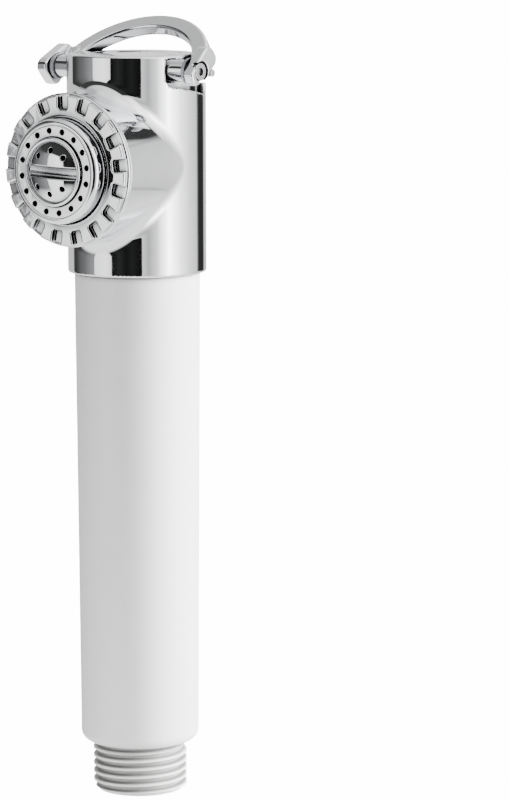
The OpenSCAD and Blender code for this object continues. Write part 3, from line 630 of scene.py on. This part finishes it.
THREAD_PITCH = 1.814
CREST_R, ROOT_R, NECK_R, INLET_BORE = 10.47, 9.33, 9.39, 6.5
INLET_END, INLET_TOP = lowest("inlet_nipple", 2) + 0.02, highest("inlet_nipple", 2)
THREAD_TURN = 0.2
CREST_HALF, FLANK = 0.36, 0.25
COIL_WIRE, COIL_TURNS, CLOSED_TURN = 0.3, 5, 0.7
SHARP = math.radians(50)


def nipple():
    """Threaded inlet: a helix with rounded crests runs up the lower part."""
    segments = 144
    rise = np.arange(-0.8, 10.1, 0.07)
    angle = np.arange(segments) * 2 * math.pi / segments
    phase = ((rise[None, :] - THREAD_TURN) / THREAD_PITCH - angle[:, None] / (2 * math.pi) + 0.5) % 1 - 0.5
    ridge = np.clip((CREST_HALF - np.abs(phase)) / FLANK, 0, 1)
    ridge = ridge * ridge * (3 - 2 * ridge)
    fade = np.clip((rise + 0.75) / 0.8, 0, 1) * np.clip((9.95 - rise) / 1.2, 0, 1)
    radius = ROOT_R + (CREST_R - ROOT_R) * ridge * fade[None, :]
    lower = [(INLET_BORE, 21), (INLET_BORE, -0.75), (6.7, INLET_END), (9.05, INLET_END), (9.25, -0.93)]
    upper = [(9.36, 10.15), (NECK_R, 10.3), (NECK_R, INLET_TOP), (6.3, INLET_TOP), (6.3, 24), (5, 24),
             (5, 21)]
    points = []
    for i, a in enumerate(angle):
        rows = lower + list(zip(radius[i], rise)) + upper
        points += [(r * math.cos(a), r * math.sin(a), z) for r, z in rows]
    count = len(lower) + len(rise) + len(upper)
    thing = link_mesh("nipple_skin", np.array(points) * MM, grid(segments, count, True, True))
    thing.data.set_sharp_from_angle(angle=SHARP)
    return thing


def make_spring():
    """The check valve's coil, with closed turns at its ends."""
    steps, sides = 360, 14
    radius = highest("check_valve_spring", 0) - COIL_WIRE
    bottom, top = lowest("check_valve_spring", 2) + COIL_WIRE, highest("check_valve_spring", 2) - COIL_WIRE
    share = np.linspace(0, 1, steps)
    climb = np.clip((share * COIL_TURNS - CLOSED_TURN) / (COIL_TURNS - 2 * CLOSED_TURN), 0, 1)
    points = []
    for a, z in zip(2 * math.pi * COIL_TURNS * share, bottom + (top - bottom) * climb):
        for b in np.arange(sides) * 2 * math.pi / sides:
            r = radius + COIL_WIRE * math.cos(b)
            points.append((r * math.cos(a), r * math.sin(a), z + COIL_WIRE * math.sin(b)))
    ends = [tuple(range(sides)), tuple(range(steps * sides - 1, (steps - 1) * sides - 1, -1))]
    thing = link_mesh("spring_skin", np.array(points) * MM, grid(steps, sides, False, True) + ends)
    thing.data.set_sharp_from_angle(angle=SHARP)
    stand_in(thing, "check_valve_spring", "handset", "steel")
    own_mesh(thing)


# ---------------------------------------------------------------- pieces, each in the place of a CAD node

def stand_in(thing, node, body, slot):
    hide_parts(node)
    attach(thing, body)
    thing.data.materials.append(FINISHES[slot])


def make_head():
    stand_in(grow("casing_skin", casing_field, [-17, -24, 115.5], [17, 16, 164.5], 0.4),
             "head_casing", "handset", "chrome")
    stand_in(grow("core_skin", core_field, [-14, -14, 97.5], [14, 14, 164.5], 0.5),
             "valve_body", "handset", "core_chrome")
    pivot = ([-18, -7.8, 157.5], [18, -1, 164])
    stand_in(grow("bush_skin", bushes_field, *pivot, 0.17), "spindle_bushes", "handset", "core_chrome")
    stand_in(grow("washer_skin", washers_field, *pivot, 0.15), "pivot_washers", "lever", "grey_plastic")
    stand_in(grow("stop_skin", stops_field, [-19, 2.5, 159], [19, 4.7, 161], 0.1),
             "stop_pins", "handset", "steel")


def make_lever():
    stand_in(grow("arch_skin", arch_field, [-21.4, -4.2, -6.2], [21.4, 18.6, 4.4], 0.26, IN_LEVER),
             "lever_arch", "lever", "lever_chrome")
    stand_in(grow("screw_skin", screws_field, [-21.2, -2.1, -2.1], [21.2, 2.1, 2.1], 0.09, IN_LEVER),
             "lever_screws", "lever", "steel")


def make_nozzle():
    stand_in(grow("ring_skin", ring_field, [-16.8, -16.8, 23.6], [16.8, 16.8, 26], 0.16, ON_NOZZLE),
             "selector_ring", "selector", "nozzle_chrome")
    stand_in(grow("plate_skin", plate_field, [-11.5, -11.5, 23], [11.5, 11.5, 29.5], 0.14, ON_NOZZLE),
             "spray_plate", "selector", "nozzle_chrome")
    stand_in(grow("insert_skin", insert_field, [-7.6, -7.6, 25.9], [7.6, 7.6, 31.6], 0.11, ON_NOZZLE),
             "centre_insert", "handset", "nozzle_chrome")
    back, front = BARREL_END + 0.02, RING_BACK - 0.1
    gasket = outline((13.05, back, 0.1), (15.7, back, 0.1), (15.7, front, 0.25), (13.05, front, 0.1))
    stand_in(turn_shape("gasket_skin", gasket, 144, ON_NOZZLE), "seal_ring", "handset", "rubber")


def make_handle():
    bottom = lowest("handle_shell", 2)
    shell = outline((9.45, bottom, 0.3), (13.1, bottom, 2.4), (13.85, HANDLE_TOP, 0.45),
                    (9.95, HANDLE_TOP, 0.1), (9.95, COLLAR_BOTTOM, 0.1), (11, COLLAR_BOTTOM, 0.1),
                    (11, 37.9, 0.1), (9.45, 37.9, 0.1))
    stand_in(turn_shape("handle_skin", shell), "handle_shell", "handset", "white_plastic")
    base, dish = lowest("top_cap", 2), HEAD_TOP - 0.15
    lid = outline((0.03, base, 0), (9.57, base, 0.1), (9.57, HEAD_TOP, 0.25), (7.4, HEAD_TOP, 0.2),
                  (7.1, dish, 0.2), (0.03, dish, 0))
    stand_in(turn_shape("lid_skin", lid), "top_cap", "handset", "core_chrome")
    stand_in(nipple(), "inlet_nipple", "handset", "inlet_plastic")


# ---------------------------------------------------------------- finishes

# Sockets of a colour mix node
MIX_A, MIX_B, MIX_RESULT = 6, 7, 2
# Features for each metre
PATCHES, SMEARS, SPECKS = 260, 170, 2600


def node_at(tree, kind, **values):
    """A shader node with some of its sockets or properties set."""
    made = tree.nodes.new(kind)
    for key, value in values.items():
        if key in made.inputs:
            made.inputs[key].default_value = value
        else:
            setattr(made, key, value)
    return made


def noise(tree, scale, detail=3, stretch=(1, 1, 1)):
    """Noise in the piece's own coordinates; scale is features for each metre."""
    place = tree.nodes.new("ShaderNodeTexCoord")
    spread = tree.nodes.new("ShaderNodeMapping")
    spread.inputs["Scale"].default_value = stretch
    tree.links.new(place.outputs["Object"], spread.inputs["Vector"])
    made = node_at(tree, "ShaderNodeTexNoise", Scale=scale, Detail=detail)
    tree.links.new(spread.outputs["Vector"], made.inputs["Vector"])
    return made.outputs["Fac"]


def remap(tree, source, low, high, to_low, to_high):
    made = tree.nodes.new("ShaderNodeMapRange")
    for socket, value in zip(("From Min", "From Max", "To Min", "To Max"), (low, high, to_low, to_high)):
        made.inputs[socket].default_value = value
    tree.links.new(source, made.inputs["Value"])
    return made.outputs["Result"]


def mixed(tree, share, first, second=None):
    """Colour mix node. share is a socket; second is linked later if it isn't given."""
    made = tree.nodes.new("ShaderNodeMix")
    made.data_type = "RGBA"
    made.inputs[MIX_A].default_value = (*first, 1)
    if second is not None:
        made.inputs[MIX_B].default_value = (*second, 1)
    tree.links.new(share, made.inputs[0])
    return made


def uneven(tree, height, depth, below=None):
    """Bump node over another one."""
    made = node_at(tree, "ShaderNodeBump", Distance=depth)
    tree.links.new(height, made.inputs["Height"])
    if below is not None:
        tree.links.new(below.outputs["Normal"], made.inputs["Normal"])
    return made


def finish(name, color, stain, metallic, roughness, stretch=(1, 1, 1), grain=(900, 4e-6), wave=(110, 6e-6),
           painted_shade_tone=0.3, depth=0.0016):
    """
    A finish with its own wear and painted shade. color drifts to stain in patches, roughness is (least, most), and
    grain and wave are the fine and the broad unevenness as (features for each metre, depth in metres). The painted
    shade darkens the colour in crevices and gaps; the shade tone sets how dark it gets, and depth how far it
    reaches.
    """
    material = bpy.data.materials.new(name)
    material.use_nodes = True
    tree = material.node_tree
    shader = tree.nodes["Principled BSDF"]
    shader.inputs["Metallic"].default_value = metallic
    patches = remap(tree, noise(tree, PATCHES, 5), 0.42, 0.72, 0, 1)
    tint = mixed(tree, patches, color, stain)
    # Painted shade: where ambient occlusion finds a crevice or a gap between parts, the colour darkens towards a
    # dark copy of the stain
    crevice = node_at(tree, "ShaderNodeAmbientOcclusion", Distance=depth, samples=8)
    open_share = remap(tree, crevice.outputs["AO"], 0.5, 0.95, 0, 1)
    dark = mixed(tree, open_share, [painted_shade_tone * c for c in stain])
    tree.links.new(tint.outputs[MIX_RESULT], dark.inputs[MIX_B])
    tree.links.new(dark.outputs[MIX_RESULT], shader.inputs["Base Color"])
    smears = noise(tree, SMEARS, 6, stretch)
    specks = noise(tree, SPECKS, 2, stretch)
    both = node_at(tree, "ShaderNodeMath", operation="MULTIPLY_ADD")
    tree.links.new(specks, both.inputs[0])
    both.inputs[1].default_value = 0.35
    tree.links.new(smears, both.inputs[2])
    tree.links.new(remap(tree, both.outputs[0], 0.5, 0.9, *roughness), shader.inputs["Roughness"])
    broad = uneven(tree, noise(tree, wave[0], 2), wave[1])
    fine = uneven(tree, noise(tree, grain[0], 3, stretch), grain[1], broad)
    tree.links.new(fine.outputs["Normal"], shader.inputs["Normal"])
    return material


CHROME = ((0.86, 0.87, 0.89), (0.82, 0.83, 0.85), 1, (0.03, 0.085))
# Every finish below also paints shade into its crevices and gaps
FINISHES = {
    "white_plastic": finish("white plastic", (0.87, 0.87, 0.865), (0.85, 0.85, 0.84), 0, (0.3, 0.42),
                            grain=(1500, 5e-6), wave=(90, 2e-5)),
    "inlet_plastic": finish("inlet plastic", (0.85, 0.85, 0.845), (0.8, 0.8, 0.78), 0, (0.35, 0.5),
                            grain=(1300, 8e-6), wave=(150, 2e-5)),
    "poppet_plastic": finish("poppet plastic", (0.85, 0.85, 0.83), (0.78, 0.78, 0.75), 0, (0.38, 0.55)),
    "chrome": finish("chrome", *CHROME, grain=(700, 4e-7), wave=(110, 1e-5), painted_shade_tone=0.1),
    "core_chrome": finish("core chrome", *CHROME, grain=(800, 6e-7), wave=(120, 8e-6), painted_shade_tone=0.1),
    "lever_chrome": finish("lever chrome", *CHROME, grain=(800, 6e-7), wave=(170, 1.2e-5), painted_shade_tone=0.1,
                           depth=0.002),
    "nozzle_chrome": finish("nozzle chrome", *CHROME, grain=(900, 6e-7), wave=(230, 2.2e-5), painted_shade_tone=0.05,
                            depth=0.003),
    "brass": finish("brass", (0.8, 0.62, 0.32), (0.6, 0.42, 0.2), 1, (0.2, 0.42), (1, 1, 12), (1200, 8e-6)),
    "steel": finish("steel", (0.6, 0.61, 0.63), (0.5, 0.5, 0.51), 1, (0.16, 0.36), (9, 1, 1), (1100, 5e-6)),
    "rubber": finish("rubber", (0.028, 0.028, 0.032), (0.05, 0.05, 0.05), 0, (0.5, 0.75),
                     grain=(2200, 2e-5)),
    "ceramic": finish("ceramic", (0.9, 0.88, 0.83), (0.84, 0.81, 0.75), 0, (0.1, 0.25),
                      grain=(1800, 2e-6)),
    "grey_plastic": finish("grey plastic", (0.45, 0.47, 0.5), (0.38, 0.4, 0.43), 0, (0.4, 0.6),
                           grain=(1500, 1e-5)),
}

make_camera()
make_studio()
make_head()
make_lever()
make_nozzle()
make_handle()
make_spring()
for part in frame["record"]["subparts"]:
    thing = nodes[part["node"]]
    thing.data.materials.clear()
    thing.data.materials.append(FINISHES[part["material_slot"]])
